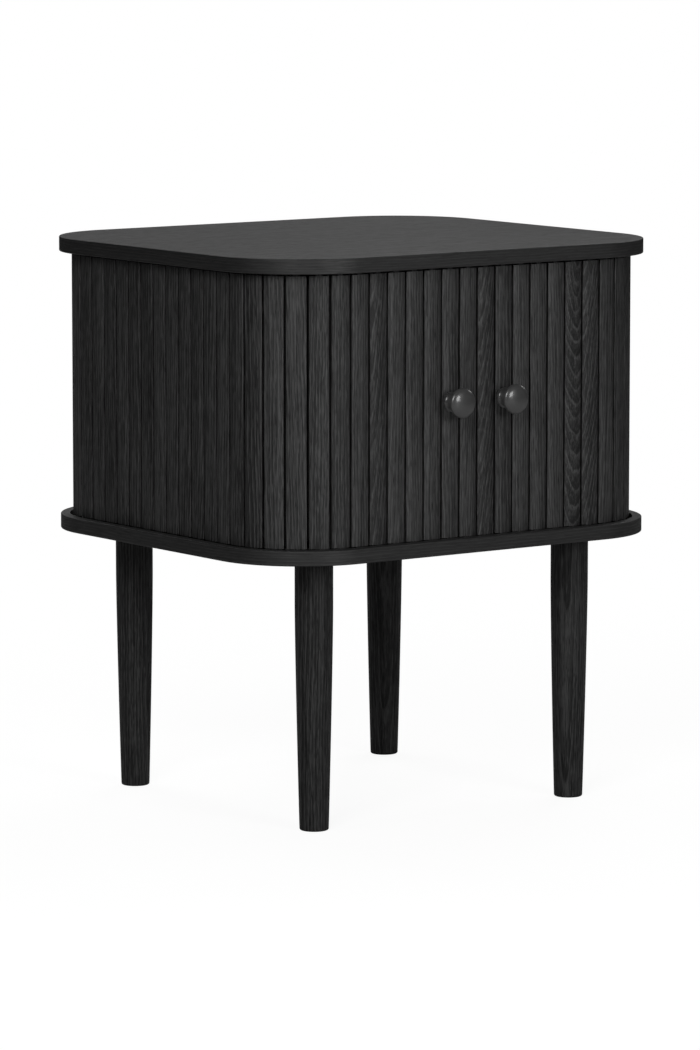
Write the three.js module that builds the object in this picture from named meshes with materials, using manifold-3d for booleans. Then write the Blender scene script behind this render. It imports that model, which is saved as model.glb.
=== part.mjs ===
// Bedside cabinet on four turned legs, closed by two sliding tambour doors.
// Millimetres, +Z up, the front faces -Y. The origin is on the floor, under the middle of the
// whole box with its knobs, and the pieces are drawn about the middle of the boards.
// Each door is a curtain of upright slats. Their tongues run in a groove that goes all the way
// round in both boards, so an opened door disappears round the side of the cabinet.

import * as THREE from 'three';
import { mergeVertices } from 'three/addons/utils/BufferGeometryUtils.js';
import Module from 'manifold-3d';

const wasm = await Module();
wasm.setup();

// Whole cabinet
const width = 500;
const depth = 450;
const cornerRadius = 96;
const legLength = 271.5;
const bodyHeight = 268.5;

// Boards
const boardThickness = 15;
const boardArris = 1;
const overhang = 12;

// Slats
const slatPitch = 22;
const slatThickness = 7;
const slatGap = 1.6;
const slatArris = 0.6;
const slatBackBevel = 1.2;
const slatEndClearance = 0.8;
const travelSlatCount = 6;
const curtainTail = 55;
const tongueWidth = 6;
const tongueThickness = 2.5;

// Canvas that ties the slats of a side section together
const canvasThickness = 0.6;
const canvasMargin = 9;
const glueDepth = 0.1;

// Groove for the tongues
const grooveDepth = 7;
const grooveOutward = 6;
const grooveInward = 6.8;
const grooveHeadroom = 1;

// Stop for the tails of both curtains
const stopHeight = 6;
const stopClearance = 0.5;

// Liner
const linerThickness = 9;
const linerStandoff = 10;
const linerWrap = THREE.MathUtils.degToRad(45);

// Knobs
const knobDiameter = 30;
const knobLength = 24;
const knobRimHeight = 17;
const knobRimDepth = 1.5;
const knobNeckDiameter = 13;
const knobNeckHeight = 8;
const knobBaseDiameter = 20;
const knobBaseRim = 1;
const knobTenonDiameter = 8;
const knobTenonLength = 6;
const knobRise = 1;
const knobSlatIndex = 1;

// Legs
const legInsetX = 90;
const legInsetY = 67;
const legTopDiameter = 38;
const legFootDiameter = 29;
const legStraight = 48;
const legFootArris = 1.8;
const legTaperPower = 1.3;

// Leg bolts
const boltDiameter = 8;
const boltInLeg = 30;
const boltInBoard = 11;

// Clearances, and the overrun of a cutting tool
const seatGap = 0.3;
const boreClearance = 0.3;
const cutOverrun = 1;
const weldTolerance = 0.001;

// Facet counts
const cornerFacets = 10;
const turnedFacets = 24;
const boreFacets = 12;
const curveFacets = 6;
const taperFacets = 8;
const arrisFacets = 2;

const quarterTurn = Math.PI / 2;
const halfTurn = Math.PI;

// Finishes
const veneer = new THREE.MeshStandardMaterial({ color: 0x2e2e2e, roughness: 0.55, metalness: 0 });
const stainedOak = new THREE.MeshStandardMaterial({ color: 0x282828, roughness: 0.6, metalness: 0 });
const lacquer = new THREE.MeshStandardMaterial({ color: 0x3a3a3a, roughness: 0.35, metalness: 0 });
const zincSteel = new THREE.MeshStandardMaterial({ color: 0x9a9c9e, roughness: 0.4, metalness: 1 });

// Heights, and the reach of the knobs beyond the boards
const lowerBoardTop = legLength + boardThickness;
const upperBoardBottom = lowerBoardTop + bodyHeight;
const knobReach = seatGap + knobLength - overhang;

// Line that the middles of the slats follow, and its straight runs
const trackInset = overhang + slatThickness / 2;
const trackRadius = cornerRadius - trackInset;
const trackHalfWidth = width / 2 - trackInset;
const trackHalfDepth = depth / 2 - trackInset;
const frontRun = trackHalfWidth - trackRadius;
const sideRun = 2 * (trackHalfDepth - trackRadius);
const bendLength = trackRadius * quarterTurn;
const sideStart = frontRun + bendLength;
const sideEnd = sideStart + sideRun;
const backStart = sideEnd + bendLength;
const trackEnd = backStart + frontRun;
const travel = travelSlatCount * slatPitch;

// Slats of a door. Those that stay on the straight side at both ends of the travel are one section,
// and those behind it reach round the rear bend by the tail.
const frontSlatCount = Math.ceil(sideStart / slatPitch);
const sideSlatCount = Math.floor((sideEnd - travel) / slatPitch) - frontSlatCount;
const slatCount = Math.ceil((sideEnd + curtainTail) / slatPitch);

// Closed geometry with shared corners and no empty triangles
function weld(geometry) {
  const bare = geometry.clone();
  bare.deleteAttribute('normal');
  bare.deleteAttribute('uv');
  const merged = mergeVertices(bare, weldTolerance);
  const index = [];
  for (let i = 0; i < merged.index.count; i += 3) {
    const [a, b, c] = [0, 1, 2].map((corner) => merged.index.getX(i + corner));
    if (a !== b && b !== c && c !== a) {
      index.push(a, b, c);
    }
  }
  merged.setIndex(index);
  return merged;
}

function toManifold(geometry) {
  const closed = weld(geometry);
  return new wasm.Manifold(new wasm.Mesh({
    numProp: 3,
    vertProperties: new Float32Array(closed.attributes.position.array),
    triVerts: new Uint32Array(closed.index.array),
  }));
}

function toGeometry(manifold) {
  const mesh = manifold.getMesh();
  const geometry = new THREE.BufferGeometry();
  geometry.setAttribute('position', new THREE.BufferAttribute(mesh.vertProperties, mesh.numProp));
  geometry.setIndex(new THREE.BufferAttribute(mesh.triVerts, 1));
  geometry.computeVertexNormals();
  return geometry;
}

function joined(geometries) {
  return toGeometry(geometries.map(toManifold).reduce((whole, piece) => whole.add(piece)));
}

function cut(geometry, cutters) {
  const blank = toManifold(geometry);
  return toGeometry(cutters.map(toManifold).reduce((rest, cutter) => rest.subtract(cutter), blank));
}

function named(name, geometry, material) {
  const mesh = new THREE.Mesh(geometry, material);
  mesh.name = name;
  return mesh;
}

// Straight extrusion of a flat outline from one height to another
function prism(shape, bottom, top) {
  const geometry = new THREE.ExtrudeGeometry(shape, {
    depth: top - bottom,
    bevelEnabled: false,
    curveSegments: cornerFacets,
  });
  return geometry.translate(0, 0, bottom);
}

function uprightCylinder(diameter, bottom, top, x, y) {
  const geometry = new THREE.CylinderGeometry(diameter / 2, diameter / 2, top - bottom, boreFacets);
  return geometry.rotateX(quarterTurn).translate(x, y, (bottom + top) / 2);
}

function roundedRectangle(halfWidth, halfDepth, radius) {
  const x = halfWidth - radius;
  const y = halfDepth - radius;
  const shape = new THREE.Shape();
  shape.absarc(x, -y, radius, -quarterTurn, 0);
  shape.absarc(x, y, radius, 0, quarterTurn);
  shape.absarc(-x, y, radius, quarterTurn, halfTurn);
  shape.absarc(-x, -y, radius, halfTurn, halfTurn + quarterTurn);
  shape.closePath();
  return shape;
}

// Outline that keeps one distance from the track, outwards or inwards
function trackOutline(outward) {
  return roundedRectangle(trackHalfWidth + outward, trackHalfDepth + outward, trackRadius + outward);
}

// Point of the track at a distance from the middle of the front, for the door on the -X side
function trackPoint(distance) {
  if (distance <= frontRun) {
    return new THREE.Vector2(-distance, -trackHalfDepth);
  }
  if (distance <= sideStart) {
    const turn = (distance - frontRun) / trackRadius;
    return new THREE.Vector2(
      -frontRun - trackRadius * Math.sin(turn),
      -sideRun / 2 - trackRadius * Math.cos(turn),
    );
  }
  if (distance <= sideEnd) {
    return new THREE.Vector2(-trackHalfWidth, -sideRun / 2 + distance - sideStart);
  }
  if (distance <= backStart) {
    const turn = (distance - sideEnd) / trackRadius;
    return new THREE.Vector2(
      -frontRun - trackRadius * Math.cos(turn),
      sideRun / 2 + trackRadius * Math.sin(turn),
    );
  }
  return new THREE.Vector2(-frontRun + distance - backStart, trackHalfDepth);
}

// Place and turn of a stiff piece whose two ends stand on the track
function seatOnTrack(start, end) {
  const from = trackPoint(start);
  const to = trackPoint(end);
  const along = to.clone().sub(from);
  return { middle: from.add(to).divideScalar(2), turn: Math.atan2(-along.y, -along.x) };
}

function placeOnTrack(mesh, seat, side) {
  mesh.position.set(-side * seat.middle.x, seat.middle.y, 0);
  mesh.rotation.z = -side * seat.turn;
  return mesh;
}

// Boards with a groove for the tongues, rounded along both edges
function board(bottom, grooveBottom, grooveTop) {
  const outline = roundedRectangle(width / 2, depth / 2, cornerRadius);
  const blank = new THREE.ExtrudeGeometry(outline, {
    depth: boardThickness - 2 * boardArris,
    bevelThickness: boardArris,
    bevelSize: boardArris,
    bevelOffset: -boardArris,
    bevelSegments: arrisFacets,
    curveSegments: cornerFacets,
  }).translate(0, 0, bottom + boardArris);
  const groove = trackOutline(grooveOutward);
  groove.holes.push(trackOutline(-grooveInward));
  return { blank, groove: prism(groove, grooveBottom, grooveTop) };
}

const legPlaces = [
  ['front_left', -1, -1],
  ['front_right', 1, -1],
  ['rear_left', -1, 1],
  ['rear_right', 1, 1],
].map(([name, sideX, sideY]) => ({
  name,
  x: sideX * (width / 2 - legInsetX),
  y: sideY * (depth / 2 - legInsetY),
}));

function topBoard() {
  const { blank, groove } = board(
    upperBoardBottom,
    upperBoardBottom - cutOverrun,
    upperBoardBottom + grooveDepth,
  );
  return named('top_board', cut(blank, [groove]), veneer);
}

function bottomBoard() {
  const { blank, groove } = board(
    legLength,
    lowerBoardTop - grooveDepth,
    lowerBoardTop + cutOverrun,
  );
  const bores = legPlaces.map(({ x, y }) => uprightCylinder(
    boltDiameter + 2 * boreClearance,
    legLength - cutOverrun,
    legLength + boltInBoard + seatGap,
    x,
    y,
  ));
  return named('bottom_board', cut(blank, [groove, ...bores]), veneer);
}

// Bent liner that keeps what is stored off the curtains and carries the top board
function liner() {
  const outer = trackRadius - linerStandoff;
  const inner = outer - linerThickness;
  const x = frontRun;
  const y = sideRun / 2;
  const shape = new THREE.Shape();
  shape.absarc(x, -y, outer, -linerWrap, 0);
  shape.absarc(x, y, outer, 0, quarterTurn);
  shape.absarc(-x, y, outer, quarterTurn, halfTurn);
  shape.absarc(-x, -y, outer, halfTurn, halfTurn + linerWrap);
  shape.absarc(-x, -y, inner, halfTurn + linerWrap, halfTurn, true);
  shape.absarc(-x, y, inner, halfTurn, quarterTurn, true);
  shape.absarc(x, y, inner, quarterTurn, 0, true);
  shape.absarc(x, -y, inner, 0, -linerWrap, true);
  shape.closePath();
  return named('liner', weld(prism(shape, lowerBoardTop + seatGap, upperBoardBottom - seatGap)), veneer);
}

// Slat section seen from above: the eased face looks to -Y and the back is bevelled narrower
function slatSection() {
  const face = (slatPitch - slatGap) / 2;
  const back = face - slatBackBevel;
  const half = slatThickness / 2;
  return new THREE.Shape([
    new THREE.Vector2(-face + slatArris, -half),
    new THREE.Vector2(face - slatArris, -half),
    new THREE.Vector2(face, -half + slatArris),
    new THREE.Vector2(back, half),
    new THREE.Vector2(-back, half),
    new THREE.Vector2(-face, -half + slatArris),
  ]);
}

function centredRectangle(sizeX, sizeY) {
  return new THREE.Shape([
    new THREE.Vector2(-sizeX / 2, -sizeY / 2),
    new THREE.Vector2(sizeX / 2, -sizeY / 2),
    new THREE.Vector2(sizeX / 2, sizeY / 2),
    new THREE.Vector2(-sizeX / 2, sizeY / 2),
  ]);
}

// A slat stands on its lower tongue, and its upper tongue has headroom
function slatPieces() {
  return [
    prism(slatSection(), lowerBoardTop + slatEndClearance, upperBoardBottom - slatEndClearance),
    prism(
      centredRectangle(tongueWidth, tongueThickness),
      lowerBoardTop - grooveDepth + seatGap,
      upperBoardBottom + grooveDepth - grooveHeadroom,
    ),
  ];
}

const knobHeight = (lowerBoardTop + upperBoardBottom) / 2 + knobRise;

function knobSlatGeometry() {
  const bore = new THREE.CylinderGeometry(
    knobTenonDiameter / 2 + boreClearance,
    knobTenonDiameter / 2 + boreClearance,
    slatThickness + 2 * cutOverrun,
    boreFacets,
  ).translate(0, 0, knobHeight);
  return cut(joined(slatPieces()), [bore]);
}

// The slats of a side section share one strip of canvas
function sideSectionGeometry() {
  const pieces = [];
  for (let i = 0; i < sideSlatCount; i += 1) {
    const offset = (i - (sideSlatCount - 1) / 2) * slatPitch;
    slatPieces().forEach((piece) => pieces.push(piece.translate(offset, 0, 0)));
  }
  const canvasWidth = sideSlatCount * slatPitch - slatGap - 2 * slatBackBevel;
  const strip = centredRectangle(canvasWidth, canvasThickness);
  const canvas = prism(strip, lowerBoardTop + canvasMargin, upperBoardBottom - canvasMargin);
  pieces.push(canvas.translate(0, (slatThickness + canvasThickness) / 2 - glueDepth, 0));
  return joined(pieces);
}

// Turned knob with a tenon that is glued into its slat
function knobGeometry() {
  const cap = knobDiameter / 2;
  const neck = knobNeckDiameter / 2;
  const base = knobBaseDiameter / 2;
  const tenon = knobTenonDiameter / 2;
  const rimTop = knobRimHeight + knobRimDepth;
  const flare = new THREE.Path();
  flare.moveTo(0, -knobTenonLength);
  flare.lineTo(tenon, -knobTenonLength);
  flare.lineTo(tenon, 0);
  flare.lineTo(base, 0);
  flare.lineTo(base, knobBaseRim);
  flare.quadraticCurveTo(neck, knobBaseRim, neck, knobNeckHeight);
  flare.quadraticCurveTo(neck, knobRimHeight, cap, knobRimHeight);
  flare.lineTo(cap, rimTop);
  flare.absellipse(0, rimTop, cap, knobLength - rimTop, 0, quarterTurn);
  const profile = flare.getPoints(curveFacets);
  return weld(new THREE.LatheGeometry(profile, turnedFacets))
    .rotateX(halfTurn)
    .translate(0, -slatThickness / 2 - seatGap, knobHeight);
}

// Place of some neighbouring slats of a door, counted from the middle of the front
function slatSeat(first, count = 1) {
  return seatOnTrack(first * slatPitch, (first + count) * slatPitch);
}

function slatRow(name, side, first, count) {
  const row = new THREE.Group();
  for (let k = 0; k < count; k += 1) {
    const geometry = first + k === knobSlatIndex ? knobSlatGeometry() : joined(slatPieces());
    const slat = named(`${name}_${String(k + 1).padStart(2, '0')}`, geometry, veneer);
    row.add(placeOnTrack(slat, slatSeat(first + k), side));
  }
  return row;
}

function door(name, side) {
  const sideSlatEnd = frontSlatCount + sideSlatCount;
  const section = named(`${name}_side_slats`, sideSectionGeometry(), veneer);
  const knob = named(`${name}_knob`, knobGeometry(), lacquer);
  const curtain = new THREE.Group();
  curtain.add(
    slatRow(`${name}_front_slat`, side, 0, frontSlatCount),
    placeOnTrack(section, slatSeat(frontSlatCount, sideSlatCount), side),
    slatRow(`${name}_rear_slat`, side, sideSlatEnd, slatCount - sideSlatEnd),
    placeOnTrack(knob, slatSeat(knobSlatIndex), side),
  );
  return curtain;
}

// Strip in the lower groove behind, which the last tongue of an opened curtain comes up to
function rearStop() {
  const lastTongue = (slatCount - 1 / 2) * slatPitch + travel + tongueWidth / 2;
  const halfLength = trackEnd - lastTongue - stopClearance;
  const strip = centredRectangle(2 * halfLength, grooveOutward + grooveInward - 2 * seatGap);
  const bottom = lowerBoardTop - grooveDepth + seatGap;
  const middleY = trackHalfDepth + (grooveOutward - grooveInward) / 2;
  const geometry = prism(strip, bottom, bottom + stopHeight).translate(0, middleY, 0);
  return named('rear_stop_strip', weld(geometry), stainedOak);
}

// Turned leg: straight below the board, then a gently rounded taper to the foot
function legGeometry() {
  const top = legTopDiameter / 2;
  const foot = legFootDiameter / 2;
  const height = legLength - seatGap;
  const taperTop = legLength - legStraight;
  const bore = boltDiameter / 2 + boreClearance;
  const boreBottom = legLength - boltInLeg - seatGap;
  const profile = [new THREE.Vector2(0, 0), new THREE.Vector2(foot - legFootArris, 0)];
  for (let i = 0; i <= taperFacets; i += 1) {
    const z = legFootArris + (taperTop - legFootArris) * (i / taperFacets);
    const share = (taperTop - z) / taperTop;
    profile.push(new THREE.Vector2(top - (top - foot) * share ** legTaperPower, z));
  }
  profile.push(
    new THREE.Vector2(top, height),
    new THREE.Vector2(bore, height),
    new THREE.Vector2(bore, boreBottom),
    new THREE.Vector2(0, boreBottom),
  );
  return weld(new THREE.LatheGeometry(profile, turnedFacets)).rotateX(quarterTurn);
}

function legs() {
  const group = new THREE.Group();
  for (const { name, x, y } of legPlaces) {
    group.add(named(`${name}_leg`, legGeometry().translate(x, y, 0), stainedOak));
    const bolt = uprightCylinder(boltDiameter, legLength - boltInLeg, legLength + boltInBoard, x, y);
    group.add(named(`${name}_leg_bolt`, weld(bolt), zincSteel));
  }
  return group;
}

const cabinet = new THREE.Group();
cabinet.add(topBoard(), bottomBoard(), liner(), rearStop(), legs(), door('left', -1), door('right', 1));
cabinet.position.y = knobReach / 2;
cabinet.updateMatrixWorld(true);

export default cabinet;
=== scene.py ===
"""Bedside cabinet in black stained oak with two sliding tambour doors, dressed on its CAD frame.

Metres, +Z up, the front faces -Y. Sizes that the frame holds are read from it, and the rest are
fields of the class that builds the piece.
"""

import logging
import math
import random
from collections.abc import Callable, Mapping, Sequence
from dataclasses import dataclass, fields
from enum import Enum
from typing import Any, TypeAlias

import bmesh
import bpy
from mathutils import Matrix, Vector


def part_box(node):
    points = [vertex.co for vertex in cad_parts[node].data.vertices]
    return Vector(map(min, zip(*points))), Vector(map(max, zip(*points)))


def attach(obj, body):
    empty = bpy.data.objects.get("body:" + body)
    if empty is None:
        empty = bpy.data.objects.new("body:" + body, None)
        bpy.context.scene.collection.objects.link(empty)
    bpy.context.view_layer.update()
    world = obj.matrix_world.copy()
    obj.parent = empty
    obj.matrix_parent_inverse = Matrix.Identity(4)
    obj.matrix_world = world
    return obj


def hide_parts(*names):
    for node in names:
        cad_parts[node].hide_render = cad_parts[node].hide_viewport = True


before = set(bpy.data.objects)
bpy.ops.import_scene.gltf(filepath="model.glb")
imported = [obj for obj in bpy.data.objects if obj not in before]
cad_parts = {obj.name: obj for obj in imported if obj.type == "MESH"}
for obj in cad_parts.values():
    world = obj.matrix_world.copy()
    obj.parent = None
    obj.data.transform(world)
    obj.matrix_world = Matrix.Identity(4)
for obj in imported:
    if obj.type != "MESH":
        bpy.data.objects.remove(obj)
log = logging.getLogger("bedside_cabinet")

MM = 0.001
MERGE_DISTANCE = 0.001 * MM
QUARTER_TURN = math.pi / 2
SHARP_ANGLE = math.radians(40)
GRAIN = "grain"
TONE_SHIFT = "tone_shift"

Point: TypeAlias = tuple[float, float, float]
Spot: TypeAlias = tuple[float, float]
Number: TypeAlias = "Value | float"
Inputs: TypeAlias = dict[str | int, Any]
Socket: TypeAlias = bpy.types.NodeSocket
Materials: TypeAlias = Mapping[str, bpy.types.Material]


class Side(Enum):
    """The door on the left or on the right, and the sign of X on that side."""

    LEFT = -1
    RIGHT = 1

    @property
    def word(self) -> str:
        """The side's name as the frame's nodes begin with it."""
        return self.name.lower()


class GrainSource(Enum):
    """Where a finish reads the place in the wood from."""

    ATTRIBUTE = "the piece's own attribute"
    OBJECT = "the frame's own axes"


# Node trees


class Value:
    """A number in a node tree. Python's operators on it add Math nodes."""

    def __init__(self, bench: "Bench", socket: Socket) -> None:
        """Wraps an output socket of the bench's tree."""
        self.bench = bench
        self.socket = socket

    def math(self, operation: str, *operands: Number) -> "Value":
        """The result of one Math node, whose sockets take the operands in order."""
        return self.bench.value("ShaderNodeMath", dict(enumerate(operands)), operation=operation)

    def __add__(self, other: Number) -> "Value":
        """This value plus another."""
        return self.math("ADD", self, other)

    def __radd__(self, other: float) -> "Value":
        """A number plus this value."""
        return self.math("ADD", other, self)

    def __sub__(self, other: Number) -> "Value":
        """This value less another."""
        return self.math("SUBTRACT", self, other)

    def __neg__(self) -> "Value":
        """This value with the other sign."""
        return self.math("SUBTRACT", 0, self)

    def __rsub__(self, other: float) -> "Value":
        """A number less this value."""
        return self.math("SUBTRACT", other, self)

    def __mul__(self, other: Number) -> "Value":
        """This value times another."""
        return self.math("MULTIPLY", self, other)

    def __rmul__(self, other: float) -> "Value":
        """A number times this value."""
        return self.math("MULTIPLY", other, self)

    def __truediv__(self, other: Number) -> "Value":
        """This value divided by another."""
        return self.math("DIVIDE", self, other)

    def __pow__(self, other: Number) -> "Value":
        """This value to a power."""
        return self.math("POWER", self, other)

    def __gt__(self, other: Number) -> "Value":
        """1 where this value is the greater one, and 0 elsewhere."""
        return self.math("GREATER_THAN", self, other)

    def sine(self) -> "Value":
        """The sine of this value in radians."""
        return self.math("SINE", self)

    def fraction(self) -> "Value":
        """What is left of this value above the next lower whole number."""
        return self.math("FRACT", self)

    def larger(self, other: Number) -> "Value":
        """The larger one of this value and another."""
        return self.math("MAXIMUM", self, other)

    def ease(self, low: float, high: float) -> "Value":
        """A smooth step, 0 up to the low end and 1 from the high end on."""
        inputs = {"Value": self, "From Min": low, "From Max": high}
        return self.bench.value("ShaderNodeMapRange", inputs, interpolation_type="SMOOTHSTEP")


class Bench:
    """Adds and links the nodes of one tree."""

    def __init__(self, tree: bpy.types.NodeTree) -> None:
        """Starts on a tree."""
        self.tree = tree

    @classmethod
    def emptied(cls, block: bpy.types.Material | bpy.types.World) -> "Bench":
        """Empties the tree of a material or of a world, and starts on it.

        Args:
            block: The material or the world.

        Returns:
            The bench.
        """
        block.use_nodes = True
        block.node_tree.nodes.clear()
        return cls(block.node_tree)

    def node(self, kind: str, inputs: Inputs | None = None, **settings: Any) -> bpy.types.Node:
        """Adds a node.

        Args:
            kind: The node's type.
            inputs: A value, a Value or a socket for each of its sockets, by name or by number.
            settings: Its properties, set first.

        Returns:
            The node.
        """
        node = self.tree.nodes.new(kind)
        for name, setting in settings.items():
            setattr(node, name, setting)
        for key, given in (inputs or {}).items():
            self.feed(self.pick(node.inputs, key), given)
        return node

    @staticmethod
    def pick(sockets: Sequence[Socket], key: str | int) -> Socket:
        """Picks one of a node's inputs or outputs.

        Args:
            sockets: The node's inputs or its outputs.
            key: The number of the wanted one, or its name where it is enabled.

        Returns:
            The socket.
        """
        if isinstance(key, int):
            return sockets[key]
        return next(socket for socket in sockets if socket.name == key and socket.enabled)

    def feed(self, socket: Socket, given: Any) -> None:
        """Gives an input socket its link or its value.

        Args:
            socket: The input socket.
            given: A Value, an output socket, several of either, or a plain value.
        """
        several = given if isinstance(given, list) else [given]
        for one in several:
            source = one.socket if isinstance(one, Value) else one
            if isinstance(source, bpy.types.NodeSocket):
                self.tree.links.new(source, socket)
            else:
                socket.default_value = source

    def out(self, kind: str, inputs: Inputs | None = None, output: str | int = 0, **settings: Any) -> Socket:
        """Adds a node as node() does, and returns its output of that name or number."""
        return self.pick(self.node(kind, inputs, **settings).outputs, output)

    def value(self, kind: str, inputs: Inputs | None = None, output: str | int = 0, **settings: Any) -> Value:
        """As out(), for an output that is a number."""
        return Value(self, self.out(kind, inputs, output, **settings))

    def axes(self, vector: Socket) -> tuple[Value, Value, Value]:
        """The three parts of a vector."""
        node = self.node("ShaderNodeSeparateXYZ", {0: vector})
        return tuple(Value(self, output) for output in node.outputs)

    def vector(self, x: Any, y: Any, z: Any) -> Socket:
        """The vector of three numbers."""
        return self.out("ShaderNodeCombineXYZ", {0: x, 1: y, 2: z})

    def combined(self, operation: str, first: Any, second: Any) -> Socket:
        """The result of one Vector Math node on two vectors."""
        return self.out("ShaderNodeVectorMath", {0: first, 1: second}, operation=operation)

    def noise(self, place: Socket, size: Spot, detail: float = 2, rough: float = 0.5) -> Value:
        """Noise that is drawn out along the grain, from 0 to 1.

        Args:
            place: Where it is read, in metres, with Z along the grain.
            size: The size of its spots across the grain and along it.
            detail: How many finer layers it has.
            rough: How strong those are.

        Returns:
            The noise.
        """
        across, along = size
        scaled = self.combined("DIVIDE", place, (across, across, along))
        inputs = {"Vector": scaled, "Scale": 1, "Detail": detail, "Roughness": rough}
        return self.value("ShaderNodeTexNoise", inputs)

    def tone(self, factor: Value, dark: float, light: float) -> Socket:
        """A neutral grey between two tones.

        Args:
            factor: 0 for the dark tone and 1 for the light one.
            dark: The dark tone, linear.
            light: The light tone, linear.

        Returns:
            The colour.
        """
        inputs = {"Factor": factor, "A": (dark, dark, dark, 1), "B": (light, light, light, 1)}
        return self.out("ShaderNodeMix", inputs, "Result", data_type="RGBA", clamp_factor=True)

    def bump(self, height: Value, depth: float) -> Socket:
        """The normal of a relief from 0 to 1 that is as deep as told, in metres."""
        return self.out("ShaderNodeBump", {"Strength": 1, "Distance": depth, "Height": height})


# Finishes


@dataclass(frozen=True)
class Finish:
    """A finish, whose pattern each kind of finish adds in its own way."""

    name: str
    source: GrainSource = GrainSource.OBJECT

    def material(self) -> bpy.types.Material:
        """Builds the finish.

        Returns:
            The material.
        """
        material = bpy.data.materials.new(self.name)
        bench = Bench.emptied(material)
        if self.source is GrainSource.OBJECT:
            place = bench.out("ShaderNodeTexCoord", output="Object")
        else:
            place = bench.out("ShaderNodeAttribute", output="Vector", attribute_name=GRAIN)
        shader = bench.out("ShaderNodeBsdfPrincipled", self.pattern(bench, place))
        bench.node("ShaderNodeOutputMaterial", {"Surface": shader})
        return material

    def pattern(self, bench: Bench, place: Socket) -> Inputs:
        """The values and links of the shader at a place in the material."""
        raise NotImplementedError(self.name)


@dataclass(frozen=True)
class StainedOak(Finish):
    """Open-pored oak under a black stain.

    The wood's own space has the pith of the trunk as its Z axis, and the rings run round it. A piece
    cut with the rings square to its face shows straight lines, and one cut flat shows arches. A pair
    of sizes is that of a spot, across the grain and along it. A range holds the two ends of a smooth
    step in a noise or in the share of a ring.
    """

    source: GrainSource = GrainSource.ATTRIBUTE
    dark: float = 0.008
    light: float = 0.082
    level: float = 0.3
    ring_width: float = 3 * MM
    ring_wander: float = 3.5 * MM
    ring_contrast: float = 0.7
    line_rise_range: Spot = (0, 0.1)
    line_fall_range: Spot = (0.16, 0.36)
    late_range: Spot = (0.5, 0.95)
    late_contrast: float = 0.3
    wander: Spot = (22 * MM, 150 * MM)
    dash: Spot = (0.7 * MM, 15 * MM)
    dash_range: Spot = (0.36, 0.62)
    dash_contrast: float = 0.8
    streak: Spot = (4.2 * MM, 150 * MM)
    streak_contrast: float = 0.7
    fibre: Spot = (1.3 * MM, 34 * MM)
    fibre_contrast: float = 1.4
    thread: Spot = (0.8 * MM, 16 * MM)
    thread_range: Spot = (0.54, 0.68)
    thread_contrast: float = 0.5
    pore: Spot = (0.8 * MM, 12 * MM)
    pore_range: Spot = (0.52, 0.66)
    pore_contrast: float = 0.3
    late_pores: float = 0.3
    relief: float = 0.16 * MM
    roughness: float = 0.46
    grain_gloss: float = 0.1
    pore_roughness: float = 0.15
    specular: float = 0.45

    def pattern(self, bench: Bench, place: Socket) -> Inputs:
        """Adds the rings, and the streaks, fibres, pale threads and pores between them.

        Args:
            bench: The material's bench.
            place: The place in the wood.

        Returns:
            The values and links of the shader.
        """
        x, y, _ = bench.axes(place)
        wander = bench.noise(place, self.wander) - 0.5
        radius = (x * x + y * y) ** 0.5 + wander * (2 * self.ring_wander)
        ring = (radius / self.ring_width).fraction()
        dash = bench.noise(place, self.dash).ease(*self.dash_range)
        whole = ring.ease(*self.line_rise_range) * (1 - ring.ease(*self.line_fall_range))
        line = whole * (1 - self.dash_contrast + self.dash_contrast * dash)
        late = ring.ease(*self.late_range)
        streak = bench.noise(place, self.streak) - 0.5
        fibre = bench.noise(place, self.fibre, detail=3, rough=0.65) - 0.5
        thread = bench.noise(place, self.thread, detail=1).ease(*self.thread_range)
        pore = bench.noise(place, self.pore, detail=1).ease(*self.pore_range)
        pores = pore * (self.late_pores + (1 - self.late_pores) * (1 - late))
        shift = bench.value("ShaderNodeAttribute", output="Fac", attribute_name=TONE_SHIFT)
        fibres = self.fibre_contrast * (fibre + self.streak_contrast * streak)
        grain = fibres + self.ring_contrast * (line - self.late_contrast * late)
        factor = self.level + shift + grain + self.thread_contrast * thread - self.pore_contrast * pores
        height = 0.6 + 0.8 * fibre + 0.3 * line - 0.5 * pores
        return {
            "Specular IOR Level": self.specular,
            "Base Color": bench.tone(factor, self.dark, self.light),
            "Roughness": self.roughness - self.grain_gloss * grain + self.pore_roughness * pores,
            "Normal": bench.bump(height, self.relief),
        }


@dataclass(frozen=True)
class Lacquer(Finish):
    """Satin black lacquer over turned wood, whose grain shows faintly."""

    dark: float = 0.042
    light: float = 0.084
    roughness: float = 0.34
    fibre_roughness: float = 0.12
    ripple_roughness: float = 0.1
    specular: float = 0.6
    coat: float = 0.6
    coat_roughness: float = 0.13
    fibre: Spot = (0.8 * MM, 9 * MM)
    ripple: Spot = (2.2 * MM, 2.6 * MM)
    relief: float = 0.04 * MM

    def pattern(self, bench: Bench, place: Socket) -> Inputs:
        """Adds the faint fibres and the ripple of the coat.

        Args:
            bench: The material's bench.
            place: The place in the wood.

        Returns:
            The values and links of the shader.
        """
        fibre = bench.noise(place, self.fibre)
        ripple = bench.noise(place, self.ripple, detail=1)
        uneven = self.fibre_roughness * (fibre - 0.5) + self.ripple_roughness * (ripple - 0.5)
        return {
            "Specular IOR Level": self.specular,
            "Coat Weight": self.coat,
            "Coat Roughness": self.coat_roughness,
            "Base Color": bench.tone(0.3 + 0.4 * fibre, self.dark, self.light),
            "Roughness": self.roughness + uneven,
            "Normal": bench.bump(0.7 * ripple + 0.3 * fibre, self.relief),
        }


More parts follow.
